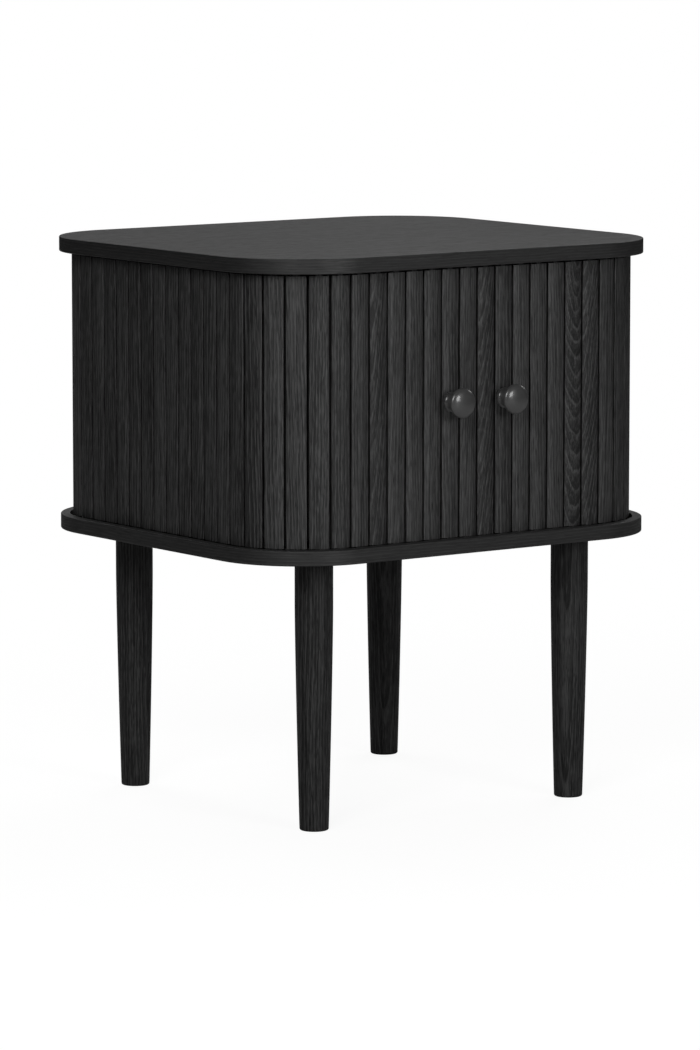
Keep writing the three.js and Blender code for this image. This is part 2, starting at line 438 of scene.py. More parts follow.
@dataclass(frozen=True)
class Canvas(Finish):
    """Black cotton canvas in plain weave, glued to the backs of the slats."""

    source: GrainSource = GrainSource.ATTRIBUTE
    dark: float = 0.0036
    light: float = 0.0216
    roughness: float = 0.85
    fuzz_roughness: float = 0.1
    thread: float = 0.7 * MM
    fuzz: Spot = (0.5 * MM, 0.5 * MM)
    relief: float = 0.2 * MM
    specular: float = 0.25

    def pattern(self, bench: Bench, place: Socket) -> Inputs:
        """Adds the warp and weft, which pass over each other in turn.

        Args:
            bench: The material's bench.
            place: The place on the cloth.

        Returns:
            The values and links of the shader.
        """
        x, _, z = bench.axes(place)
        warp = (x * (math.pi / self.thread)).sine()
        weft = (z * (math.pi / self.thread)).sine()
        over = (warp * weft) > 0
        cloth = over * (warp * warp) + (1 - over) * (weft * weft)
        fuzz = bench.noise(place, self.fuzz)
        return {
            "Specular IOR Level": self.specular,
            "Base Color": bench.tone(0.7 * cloth + 0.3 * fuzz, self.dark, self.light),
            "Roughness": self.roughness + self.fuzz_roughness * fuzz,
            "Normal": bench.bump(cloth, self.relief),
        }


@dataclass(frozen=True)
class ZincSteel(Finish):
    """Zinc-plated steel of the leg bolts."""

    dark: float = 0.36
    light: float = 0.54
    roughness: float = 0.3
    cloud_roughness: float = 0.2
    cloud: Spot = (3 * MM, 3 * MM)
    relief: float = 0.02 * MM

    def pattern(self, bench: Bench, place: Socket) -> Inputs:
        """Adds the cloudy bloom of the zinc.

        Args:
            bench: The material's bench.
            place: The place on the bolt.

        Returns:
            The values and links of the shader.
        """
        cloud = bench.noise(place, self.cloud, detail=3)
        return {
            "Metallic": 1,
            "Base Color": bench.tone(cloud, self.dark, self.light),
            "Roughness": self.roughness + self.cloud_roughness * cloud,
            "Normal": bench.bump(cloud, self.relief),
        }


FINISHES = (
    StainedOak(
        "oak_veneer",
        dark=0.005,
        light=0.034,
        fibre_contrast=1,
        thread_contrast=0,
        relief=0.05 * MM,
        roughness=0.5,
        specular=0.65,
    ),
    StainedOak("oak_slats"),
    StainedOak("oak_legs", light=0.061, specular=0.25),
    StainedOak("oak_lining", light=0.026),
    StainedOak("oak_strip", source=GrainSource.OBJECT),
    Lacquer("lacquered_wood"),
    Canvas("black_canvas"),
    ZincSteel("zinc_steel"),
)


# Outlines and meshes


def arc(centre: Spot, radius: Spot, start: float, end: float, steps: int) -> list[Spot]:
    """Points along part of an ellipse.

    Args:
        centre: Its centre.
        radius: Its two radii.
        start: The first angle, in quarter turns.
        end: The last angle.
        steps: How many steps it has.

    Returns:
        The points, both ends included.
    """
    turns = [(start + (end - start) * step / steps) * QUARTER_TURN for step in range(steps + 1)]
    x, y = centre
    wide, high = radius
    return [(x + wide * math.cos(turn), y + high * math.sin(turn)) for turn in turns]


def rounded_rectangle(half_x: float, half_y: float, radius: float, centre_y: float, steps: int) -> list[Spot]:
    """Points round a rectangle with rounded corners, anticlockwise from the middle of the back.

    Args:
        half_x: Half its width.
        half_y: Half its depth.
        radius: The radius of its corners.
        centre_y: Where its middle lies along Y.
        steps: How many steps each corner has.

    Returns:
        The points.
    """
    x = half_x - radius
    y = half_y - radius
    points = [(0.0, centre_y + half_y)]
    for corner_x, corner_y, quarter in ((-x, y, 1), (-x, -y, 2), (x, -y, 3), (x, y, 4)):
        corner = (corner_x, centre_y + corner_y)
        points += arc(corner, (radius, radius), quarter, quarter + 1, steps)
    return points


def circle(radius: float, z: float, steps: int) -> list[Point]:
    """Points round a circle at a height."""
    turns = [2 * math.pi * step / steps for step in range(steps)]
    return [(radius * math.cos(turn), radius * math.sin(turn), z) for turn in turns]


def closed_mesh(name: str, rings: Sequence[Sequence[Point]], poles: bool = False) -> bpy.types.Mesh:
    """Joins rings of points into a closed skin.

    Args:
        name: The mesh's name.
        rings: The rings, all of one length, from one end of the skin to the other.
        poles: Whether the first and the last ring are each drawn together in one point.

    Returns:
        The mesh, with its faces outward.
    """
    build = bmesh.new()
    rows = [[build.verts.new(point) for point in ring] for ring in rings]
    count = len(rows[0])
    for row, after in zip(rows, rows[1:]):
        for here in range(count):
            there = (here + 1) % count
            build.faces.new((row[here], row[there], after[there], after[here]))
    if not poles:
        build.faces.new(rows[0])
        build.faces.new(rows[-1])
    bmesh.ops.remove_doubles(build, verts=build.verts, dist=MERGE_DISTANCE)
    bmesh.ops.recalc_face_normals(build, faces=build.faces)
    mesh = bpy.data.meshes.new(name)
    build.to_mesh(mesh)
    build.free()
    return mesh


def turned_mesh(name: str, profile: Sequence[Spot], steps: int) -> bpy.types.Mesh:
    """The mesh that a profile of radii and heights makes when it turns round the Z axis."""
    return closed_mesh(name, [circle(radius, z, steps) for radius, z in profile], poles=True)


def soften(mesh: bpy.types.Mesh, width: float) -> None:
    """Rounds the sharp edges of a closed mesh.

    Args:
        mesh: The mesh.
        width: The width of the rounding.
    """
    build = bmesh.new()
    build.from_mesh(mesh)
    sharp = [edge for edge in build.edges if edge.calc_face_angle(0) > SHARP_ANGLE]
    bmesh.ops.bevel(build, geom=sharp, offset=width, segments=2, profile=0.5, affect="EDGES")
    build.to_mesh(mesh)
    build.free()


def write_grain(mesh: bpy.types.Mesh, grain: Callable[[Vector, Vector], Vector]) -> None:
    """Gives each corner of each face its place in the wood.

    Args:
        mesh: The mesh.
        grain: The place in the wood, of a point and its face's normal.
    """
    layer = mesh.attributes.new(GRAIN, "FLOAT_VECTOR", "CORNER")
    for face in mesh.polygons:
        for corner in face.loop_indices:
            point = mesh.vertices[mesh.loops[corner].vertex_index].co
            layer.data[corner].vector = grain(point, face.normal)


# Objects


def add_object(name: str, data: bpy.types.ID) -> bpy.types.Object:
    """Puts an object in the scene.

    Args:
        name: Its name.
        data: Its mesh, lamp or camera.

    Returns:
        The object.
    """
    obj = bpy.data.objects.new(name, data)
    bpy.context.scene.collection.objects.link(obj)
    return obj


def evaluated_mesh(obj: bpy.types.Object) -> bpy.types.Mesh:
    """An object's mesh with its modifiers applied."""
    graph = bpy.context.evaluated_depsgraph_get()
    return bpy.data.meshes.new_from_object(obj.evaluated_get(graph), depsgraph=graph)


def add_piece(mesh: bpy.types.Mesh, body: str, node: str, slot: str) -> None:
    """Puts a finished mesh in the scene for a node of the frame.

    Its faces are shaded smooth between sharp edges, and flat faces keep their own normal.

    Args:
        mesh: The mesh, in its place and with its materials.
        body: The body that it rides on.
        node: The node that it replaces.
        slot: Not used.
    """
    mesh.polygons.foreach_set("use_smooth", [True] * len(mesh.polygons))
    mesh.set_sharp_from_angle(angle=SHARP_ANGLE)
    rough = add_object("rough", mesh)
    weighted = rough.modifiers.new("even", "WEIGHTED_NORMAL")
    weighted.keep_sharp = True
    shaded = evaluated_mesh(rough)
    bpy.data.objects.remove(rough)
    piece = add_object(f"{node}_dressed", shaded)
    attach(piece, body)
    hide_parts(node)
    log.info("%s rides on %s, %d faces", piece.name, body, len(shaded.polygons))


class Piece:
    """A piece of one finish that stands for one node. Its mesh is made by each kind of piece."""

    node: str
    body = "frame"
    finish = "oak_veneer"
    slot = "oak_veneer"

    def mesh(self) -> bpy.types.Mesh:
        """The piece in its place, with its grain."""
        raise NotImplementedError(self.node)

    def build(self, materials: Materials) -> None:
        """Builds and places the piece.

        Args:
            materials: The material of each finish.
        """
        mesh = self.mesh()
        mesh.materials.append(materials[self.finish])
        add_piece(mesh, self.body, self.node, self.slot)


# The cabinet


@dataclass(frozen=True)
class Cabinet:
    """The sizes that several pieces share."""

    half_width: float
    half_depth: float
    middle_y: float
    lower_board_top: float
    upper_board_bottom: float
    corner_radius: float = 96 * MM
    overhang: float = 12 * MM
    slat_pitch: float = 22 * MM
    slat_thickness: float = 7 * MM

    @classmethod
    def measured(cls) -> "Cabinet":
        """Reads the outline and the heights of the boards from the frame.

        Returns:
            The cabinet's sizes.
        """
        low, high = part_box("top_board")
        return cls(
            half_width=high.x,
            half_depth=(high.y - low.y) / 2,
            middle_y=(high.y + low.y) / 2,
            lower_board_top=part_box("bottom_board")[1].z,
            upper_board_bottom=low.z,
        )

    @property
    def track_inset(self) -> float:
        """How far the line of the slats' middles lies inside the outline of the boards."""
        return self.overhang + self.slat_thickness / 2

    @property
    def corner(self) -> Spot:
        """The centre of the rounded corner on the right at the back, from the middle of the board."""
        return self.half_width - self.corner_radius, self.half_depth - self.corner_radius


@dataclass(frozen=True)
class Board(Piece):
    """A board of the carcass, rounded along its edges, with the groove for the tongues."""

    cabinet: Cabinet
    node: str
    groove_on_top: bool
    arris: float = 1 * MM
    groove_outward: float = 6 * MM
    groove_inward: float = 6.8 * MM
    groove_depth: float = 7 * MM
    face_pith: Spot = (0.31, 0.02)
    edge_pith: Spot = (0.12, 0.03)
    least_flat_normal_z: float = 0.7
    corner_steps: int = 32
    arris_steps: int = 4

    def profile(self) -> list[Spot]:
        """Works out the section from the plain face to the grooved one.

        Returns:
            How far each ring lies inside the outline, and its height.
        """
        low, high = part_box(self.node)
        outer = self.cabinet.track_inset - self.groove_outward
        inner = self.cabinet.track_inset + self.groove_inward
        thick = high.z - low.z
        floor = thick - self.groove_depth
        edge = self.arris
        both = (edge, edge)
        heights = [
            *((edge - dx, edge - dz) for dx, dz in arc((0, 0), both, 1, 0, self.arris_steps)),
            *((edge - dx, thick - edge + dz) for dx, dz in arc((0, 0), both, 0, 1, self.arris_steps)),
            (outer, thick),
            (outer, floor),
            (inner, floor),
            (inner, thick),
        ]
        if self.groove_on_top:
            return [(inset, low.z + height) for inset, height in heights]
        return [(inset, high.z - height) for inset, height in heights]

    def mesh(self) -> bpy.types.Mesh:
        """Builds the board's skin.

        Returns:
            The mesh, with the grain along X on its faces and along the outline on its edge.
        """
        rings = []
        for inset, z in self.profile():
            outline = rounded_rectangle(
                self.cabinet.half_width - inset,
                self.cabinet.half_depth - inset,
                self.cabinet.corner_radius - inset,
                self.cabinet.middle_y,
                self.corner_steps,
            )
            rings.append([(x, y, z) for x, y in outline])
        mesh = closed_mesh(self.node, rings)
        write_grain(mesh, self.grain)
        return mesh

    def grain(self, point: Vector, normal: Vector) -> Vector:
        """Finds the place in the wood.

        Args:
            point: A point on the board.
            normal: The normal of the face there.

        Returns:
            The place, with Z along the grain.
        """
        if abs(normal.z) > self.least_flat_normal_z:
            return Vector((self.face_pith[0] + point.y, self.face_pith[1] + point.z, point.x))
        return Vector((self.edge_pith[0] + point.z, self.edge_pith[1], self.along_edge(point)))

    def along_edge(self, point: Vector) -> float:
        """Measures how far round the outline a point lies.

        Args:
            point: A point on the board's edge.

        Returns:
            The way from the middle of the back, anticlockwise.
        """
        radius = self.cabinet.corner_radius
        x, y = self.cabinet.corner
        px = point.x
        py = point.y - self.cabinet.middle_y
        quarter_run = x + radius * QUARTER_TURN + y
        turn = math.atan2(max(abs(py) - y, 0), max(abs(px) - x, 0)) if abs(px) > x else QUARTER_TURN
        from_side = min(abs(py), y) + radius * turn + (x - min(abs(px), x))
        run = quarter_run - from_side if py > 0 else quarter_run + from_side
        return run if px < 0 else 4 * quarter_run - run


@dataclass(frozen=True)
class Liner(Piece):
    """The bent lining inside the curtains, closed at the back and open in front."""

    cabinet: Cabinet
    standoff: float = 10 * MM
    thickness: float = 9 * MM
    wrap: float = 0.5
    arris: float = 0.8 * MM
    pith: Spot = (0.3, 0.25)
    bend_steps: int = 28

    node = "liner"
    finish = "oak_lining"

    def line(self, radius: float) -> list[Spot]:
        """Draws the lining's line at a radius of its bends, from the right front to the left front.

        Args:
            radius: The radius of the bends.

        Returns:
            The points.
        """
        x, y = self.cabinet.corner
        both = (radius, radius)
        short = int(self.bend_steps * self.wrap)
        points = [
            *arc((x, -y), both, -self.wrap, 0, short),
            *arc((x, y), both, 0, 1, self.bend_steps),
            *arc((-x, y), both, 1, 2, self.bend_steps),
            *arc((-x, -y), both, 2, 2 + self.wrap, short),
        ]
        return [(px, self.cabinet.middle_y + py) for px, py in points]

    def mesh(self) -> bpy.types.Mesh:
        """Builds the lining as a bent board with rounded edges.

        Returns:
            The mesh, with upright grain.
        """
        low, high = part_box(self.node)
        outer = self.cabinet.corner_radius - self.cabinet.track_inset - self.standoff
        inner = outer - self.thickness
        rings = [
            [(*out, low.z), (*out, high.z), (*into, high.z), (*into, low.z)]
            for out, into in zip(self.line(outer), self.line(inner), strict=True)
        ]
        mesh = closed_mesh(self.node, rings)
        soften(mesh, self.arris)
        write_grain(mesh, lambda point, _: point + Vector((*self.pith, 0)))
        return mesh


@dataclass(frozen=True)
class Leg(Piece):
    """A turned leg: straight below the board, then a gently rounded taper to the foot."""

    node: str
    straight: float = 48 * MM
    foot_diameter: float = 29 * MM
    foot_arris: float = 1.8 * MM
    taper_power: float = 1.3
    bore_diameter: float = 8.6 * MM
    bore_depth: float = 30 * MM
    top_arris: float = 0.5 * MM
    pith_distance: float = 40 * MM
    pith_depth: float = 48 * MM
    pith_stagger: float = 16 * MM
    steps: int = 72
    taper_steps: int = 40
    foot_steps: int = 6
    top_steps: int = 3

    finish = "oak_legs"
    slot = "oak_legs"

    def mesh(self) -> bpy.types.Mesh:
        """Turns the leg, with the bore for its bolt.

        Returns:
            The mesh, with upright grain from another place of the trunk for each leg.
        """
        low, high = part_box(self.node)
        centre = (low + high) / 2
        top = (high.x - low.x) / 2
        foot = self.foot_diameter / 2
        taper_top = high.z - self.straight
        rise = self.foot_arris
        edge = self.top_arris
        bore = self.bore_diameter / 2
        bore_floor = high.z - self.bore_depth
        profile = [(0.0, 0.0), *arc((foot - rise, rise), (rise, rise), -1, 0, self.foot_steps)]
        for step in range(1, self.taper_steps + 1):
            z = rise + (taper_top - rise) * step / self.taper_steps
            share = (taper_top - z) / taper_top
            profile.append((top - (top - foot) * share**self.taper_power, z))
        profile += arc((top - edge, high.z - edge), (edge, edge), 0, 1, self.top_steps)
        profile += [(bore, high.z), (bore, bore_floor), (0.0, bore_floor)]
        mesh = turned_mesh(self.node, profile, self.steps)
        pith_x = math.copysign(self.pith_distance, centre.x)
        pith_y = self.pith_depth + math.copysign(self.pith_stagger, centre.y)
        pith = Vector((pith_x, pith_y, centre.x + 2 * centre.y))
        write_grain(mesh, lambda point, _: point + pith)
        mesh.transform(Matrix.Translation((centre.x, centre.y, 0)))
        return mesh


@dataclass(frozen=True)
class Knob(Piece):
    """A turned knob: a hollowed neck, a rim and a low dome, with a tenon that is glued in its slat."""

    side: Side
    diameter: float = 30 * MM
    length: float = 24 * MM
    rim_height: float = 17 * MM
    rim_depth: float = 1.5 * MM
    rim_round: float = 0.9 * MM
    neck_diameter: float = 13 * MM
    neck_height: float = 8 * MM
    base_diameter: float = 20 * MM
    base_rim: float = 1 * MM
    tenon_diameter: float = 8 * MM
    tenon_length: float = 6 * MM
    seat_gap: float = 0.3 * MM
    steps: int = 72
    hollow_steps: int = 10
    flare_steps: int = 12
    rim_steps: int = 5
    dome_steps: int = 20

    finish = "lacquered_wood"
    slot = "lacquered_wood"

    @property
    def node(self) -> str:
        """The knob's node."""
        return f"{self.side.word}_knob"

    @property
    def body(self) -> str:
        """The slat that carries the knob."""
        return f"{self.side.word}_front_slat_02"

    def profile(self) -> list[Spot]:
        """Works out the profile from the end of the tenon to the top of the dome.

        Returns:
            Radius and height over the slat's face, of each point.
        """
        cap = self.diameter / 2
        neck = self.neck_diameter / 2
        base = self.base_diameter / 2
        tenon = self.tenon_diameter / 2
        lip = self.rim_round
        rim_top = self.rim_height + self.rim_depth
        waist = self.neck_height
        hollow = arc((base, waist), (base - neck, waist - self.base_rim), 3, 2, self.hollow_steps)
        wide = (cap - lip - neck, self.rim_height - waist)
        flare = arc((cap - lip, waist), wide, 2, 1, self.flare_steps)
        return [
            (0.0, -self.tenon_length),
            (tenon, -self.tenon_length),
            (tenon, -self.seat_gap),
            (base, -self.seat_gap),
            *hollow,
            *flare[1:],
            *arc((cap - lip, self.rim_height + lip), (lip, lip), -1, 0, self.rim_steps),
            *arc((0, rim_top), (cap, self.length - rim_top), 0, 1, self.dome_steps),
        ]

    def mesh(self) -> bpy.types.Mesh:
        """Turns the knob and lays it with its dome to the front.

        Returns:
            The mesh.
        """
        low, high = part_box(self.node)
        centre = (low + high) / 2
        mesh = turned_mesh(self.node, self.profile(), self.steps)
        mesh.transform(Matrix.Rotation(QUARTER_TURN, 4, "X"))
        mesh.transform(Matrix.Translation((centre.x, low.y + self.length, centre.z)))
        return mesh


# The curtains


@dataclass(frozen=True, kw_only=True)
class SlatRow:
    """The slats of one body. Each field is an input of the slat tree, by the same name."""

    first: int
    count: int
    side: int
    seed: int
    pitch: float
    thickness: float
    bottom: float
    top: float
    tongue_bottom: float
    tongue_top: float
    bore_diameter: float
    bore_height: float
    gap: float = 1.6 * MM
    back_bevel: float = 1.2 * MM
    arris: float = 0.8 * MM
    shoulder_width: float = 7.5 * MM
    shoulder_depth: float = 1.4 * MM
    tongue_width: float = 6 * MM
    tongue_thickness: float = 2.5 * MM
    canvas_thickness: float = 0.5 * MM
    canvas_width: float = 20.6 * MM
    canvas_margin: float = 8.2 * MM
    tone_spread: float = 0.1
    wood_place: Point
    wood_lean: Point
    wood_spread: Point
    slat_material: bpy.types.Material
    canvas_material: bpy.types.Material


class SlatTree:
    """The geometry tree that sets slats along a track, with their tongues and canvas."""

    kinds = {
        int: "NodeSocketInt",
        float: "NodeSocketFloat",
        Point: "NodeSocketVector",
        bpy.types.Material: "NodeSocketMaterial",
    }
    arris_steps = 4
    face_cuts = 12
    shoulder_power = 1.5
    bore_steps = 32

    def __init__(self) -> None:
        """Builds the tree, with an input for the track and for each field of a row."""
        self.tree = bpy.data.node_groups.new("tambour_slats", "GeometryNodeTree")
        self.bench = Bench(self.tree)
        self.sockets: dict[str, str] = {}
        for way in ("INPUT", "OUTPUT"):
            self.tree.interface.new_socket("Geometry", in_out=way, socket_type="NodeSocketGeometry")
        for field in fields(SlatRow):
            kind = self.kinds[field.type]
            item = self.tree.interface.new_socket(field.name, in_out="INPUT", socket_type=kind)
            self.sockets[field.name] = item.identifier
        self.given = self.bench.node("NodeGroupInput")
        self.wire()

    def input(self, name: str) -> Socket:
        """The socket of a named input inside the tree."""
        return self.given.outputs[name]

    def number(self, name: str) -> Value:
        """A named input that is a number."""
        return Value(self.bench, self.input(name))

    def slat_number(self) -> Value:
        """The number of a slat of the row, counted from the middle of the front."""
        return self.bench.value("GeometryNodeInputIndex") + self.number("first")

    def section(self) -> Socket:
        """Draws the slat seen from above: arrises rounded, and a face that falls away to both sides.

        Returns:
            The closed curve.
        """
        bench = self.bench
        face = (self.number("pitch") - self.number("gap")) / 2
        back = face - self.number("back_bevel")
        half = self.number("thickness") / 2
        corners = {
            "Point 1": bench.vector(-face, -half, 0),
            "Point 2": bench.vector(face, -half, 0),
            "Point 3": bench.vector(back, half, 0),
            "Point 4": bench.vector(-back, half, 0),
        }
        sharp = bench.out("GeometryNodeCurvePrimitiveQuadrilateral", corners, mode="POINTS")
        rounding = {"Count": self.arris_steps, "Radius": self.input("arris"), "Limit Radius": True}
        eased = bench.out("GeometryNodeFilletCurve", {"Curve": sharp, **rounding}, mode="POLY")
        fine = bench.out("GeometryNodeSubdivideCurve", {"Curve": eased, "Cuts": self.face_cuts})
        x, y, _ = bench.axes(bench.out("GeometryNodeInputPosition"))
        width = self.number("shoulder_width")
        reach = ((x.larger(-x) - (face - width)) / width).larger(0)
        ahead = (-y).larger(0) / half
        fall = self.number("shoulder_depth") * reach**self.shoulder_power * ahead
        return bench.out("GeometryNodeSetPosition", {"Geometry": fine, "Offset": bench.vector(0, fall, 0)})

    def prism(self) -> Socket:
        """Raises the section to the slat's height.

        Returns:
            The slat's closed body.
        """
        bench = self.bench
        end = bench.out("GeometryNodeFillCurve", {"Curve": self.section()}, mode="NGONS")
        height = self.number("top") - self.number("bottom")
        lift = {"Offset": (0, 0, 1), "Offset Scale": height, "Individual": False}
        raised = bench.out("GeometryNodeExtrudeMesh", {"Mesh": end, **lift}, mode="FACES")
        lower = bench.out("GeometryNodeFlipFaces", {"Mesh": end})
        both = bench.out("GeometryNodeJoinGeometry", {"Geometry": [lower, raised]})
        closed = bench.out("GeometryNodeMergeByDistance", {"Geometry": both, "Distance": MERGE_DISTANCE})
        return self.moved(closed, bench.vector(0, 0, self.input("bottom")))

    def moved(self, geometry: Socket, offset: Socket, turn: Point = (0, 0, 0)) -> Socket:
        """A geometry, turned and then moved."""
        inputs = {"Geometry": geometry, "Translation": offset, "Rotation": turn}
        return self.bench.out("GeometryNodeTransform", inputs)

    def block(self, size: tuple[Any, Any, Any], bottom: Value, y: Any = 0) -> Socket:
        """A block of three sizes that stands on a height, with its middle at Y."""
        cube = self.bench.out("GeometryNodeMeshCube", {"Size": self.bench.vector(*size)})
        return self.moved(cube, self.bench.vector(0, y, bottom + size[2] / 2))

    def wooden_slat(self) -> Socket:
        """Joins the slat with its tongues, and bores it for a knob where one is asked for.

        Returns:
            The slat.
        """
        bench = self.bench
        reach = self.number("tongue_top") - self.number("tongue_bottom")
        size = (self.input("tongue_width"), self.input("tongue_thickness"), reach)
        parts = [self.prism(), self.block(size, self.number("tongue_bottom"))]
        whole = bench.out("GeometryNodeMeshBoolean", {"Mesh": parts}, operation="UNION", solver="EXACT")
        radius = self.number("bore_diameter") / 2
        depth = self.number("thickness") * 2
        round_bar = {"Vertices": self.bore_steps, "Radius": radius, "Depth": depth}
        drill = bench.out("GeometryNodeMeshCylinder", round_bar)
        laid = self.moved(drill, bench.vector(0, 0, self.input("bore_height")), (QUARTER_TURN, 0, 0))
        pair = {"Mesh 1": whole, "Mesh 2": laid}
        bored = bench.out("GeometryNodeMeshBoolean", pair, operation="DIFFERENCE", solver="EXACT")
        choice = {"Switch": self.number("bore_diameter") > 0, "False": whole, "True": bored}
        return bench.out("GeometryNodeSwitch", choice, input_type="GEOMETRY")

    def canvas(self) -> Socket:
        """Lays a strip of canvas on the slat's back.

        Returns:
            The strip.
        """
        thick = self.number("canvas_thickness")
        margin = self.number("canvas_margin")
        bottom = self.number("bottom") + margin
        size = (self.input("canvas_width"), thick, self.number("top") - margin - bottom)
        return self.block(size, bottom, (self.number("thickness") + thick) / 2)

    def marked(
        self, geometry: Socket, name: str, value: Any, kind: str = "FLOAT_VECTOR", domain: str = "POINT"
    ) -> Socket:
        """Writes a value on a geometry under a name.

        Args:
            geometry: The geometry.
            name: The name.
            value: The value.
            kind: The type of the value.
            domain: What has a value each.

        Returns:
            The geometry with it.
        """
        inputs = {"Geometry": geometry, "Name": name, "Value": value}
        return self.bench.out("GeometryNodeStoreNamedAttribute", inputs, data_type=kind, domain=domain)

    def dressed(self, geometry: Socket, material: str) -> Socket:
        """Gives a geometry its material and its own place in the wood.

        Args:
            geometry: The geometry.
            material: The name of the material's input.

        Returns:
            The geometry with both.
        """
        bench = self.bench
        position = bench.out("GeometryNodeInputPosition")
        height = bench.axes(position)[2] - (self.number("bottom") + self.number("top")) / 2
        lean = {0: self.input("wood_lean"), 1: bench.vector(height, height, 0), 2: position}
        place = bench.out("ShaderNodeVectorMath", lean, operation="MULTIPLY_ADD")
        own = self.marked(geometry, "own_place", place)
        return bench.out("GeometryNodeSetMaterial", {"Geometry": own, "Material": self.input(material)})

    def stations(self) -> tuple[Socket, Socket]:
        """Finds the slats' places on the track and their turns.

        Returns:
            A point for each slat, and the rotation of each.
        """
        bench = self.bench
        track = bench.out("GeometryNodeMeshToCurve", {"Mesh": self.input("Geometry")})
        start = self.slat_number() * self.number("pitch")
        sampling = {"output": "Position", "mode": "LENGTH", "use_all_curves": True}
        begin, end = (
            bench.out("GeometryNodeSampleCurve", {"Curves": track, "Length": length}, **sampling)
            for length in (start, start + self.number("pitch"))
        )
        halves = {"Factor": 0.5, "A": begin, "B": end}
        middle = bench.out("ShaderNodeMix", halves, "Result", data_type="VECTOR")
        along = bench.combined("SUBTRACT", end, begin)
        signed = {0: along, "Scale": self.number("side")}
        across = bench.out("ShaderNodeVectorMath", signed, operation="SCALE")
        turn = bench.out("FunctionNodeAlignRotationToVector", {"Vector": across}, axis="X", pivot_axis="Z")
        points = bench.out("GeometryNodePoints", {"Count": self.input("count"), "Position": middle})
        return points, turn

    def chance(self, kind: str, low: Any, high: Any) -> Socket:
        """Draws a value by chance for each slat, always the same one for the same slat and seed.

        Args:
            kind: The type of the value.
            low: The lowest value.
            high: The highest value.

        Returns:
            The value.
        """
        inputs = {"Min": low, "Max": high, "ID": self.slat_number(), "Seed": self.input("seed")}
        return self.bench.out("FunctionNodeRandomValue", inputs, "Value", data_type=kind)

    def wire(self) -> None:
        """Joins the tree from the track to the output."""
        bench = self.bench
        parts = [
            self.dressed(self.wooden_slat(), "slat_material"),
            self.dressed(self.canvas(), "canvas_material"),
        ]
        slat = bench.out("GeometryNodeJoinGeometry", {"Geometry": parts})
        points, turn = self.stations()
        stood = {"Points": points, "Instance": slat, "Rotation": turn}
        row = bench.out("GeometryNodeInstanceOnPoints", stood)
        spread = self.input("wood_spread")
        drift = self.chance("FLOAT_VECTOR", bench.combined("MULTIPLY", spread, (-1, -1, -1)), spread)
        trunk = bench.combined("ADD", self.input("wood_place"), drift)
        row = self.marked(row, "trunk_place", trunk, domain="INSTANCE")
        tone = self.number("tone_spread")
        row = self.marked(row, TONE_SHIFT, self.chance("FLOAT", -tone, tone), "FLOAT", "INSTANCE")
        grained = bench.out("GeometryNodeRealizeInstances", {"Geometry": row})
        reading = {"output": "Attribute", "data_type": "FLOAT_VECTOR"}
        places = ("own_place", "trunk_place")
        named = [bench.out("GeometryNodeInputNamedAttribute", {"Name": name}, **reading) for name in places]
        grained = self.marked(grained, GRAIN, bench.combined("ADD", *named))
        for name in places:
            grained = bench.out("GeometryNodeRemoveAttribute", {"Geometry": grained, "Name": name})
        bench.node("NodeGroupOutput", {"Geometry": grained})

    def mesh(self, track: bpy.types.Mesh, row: SlatRow) -> bpy.types.Mesh:
        """Makes the slats of a row.

        Args:
            track: The line that they follow.
            row: The row.

        Returns:
            The slats as a plain mesh.
        """
        maker = add_object("curtain_maker", track)
        slats = maker.modifiers.new("slats", "NODES")
        slats.node_group = self.tree
        for name, identifier in self.sockets.items():
            slats[identifier] = getattr(row, name)
        mesh = evaluated_mesh(maker)
        maker.modifiers.clear()
        bpy.data.objects.remove(maker)
        return mesh


@dataclass(frozen=True)
class Cut:
    """How a slat is cut from its trunk: the place of its middle, and how its pith leans from it."""

    place: Point
    lean: Spot = (0.0, 0.0)


LEFT_FIGURES = {
    5: Cut((0.030, 0.034, 0.2), (-0.06, -0.05)),
}
RIGHT_FIGURES = {
    0: Cut((0.034, 0.040, 0.9), (-0.10, -0.07)),
    5: Cut((-0.004, 0.034, 0.4), (0.0, -0.19)),
    6: Cut((0.036, 0.044, 0.4), (-0.08, -0.10)),
}


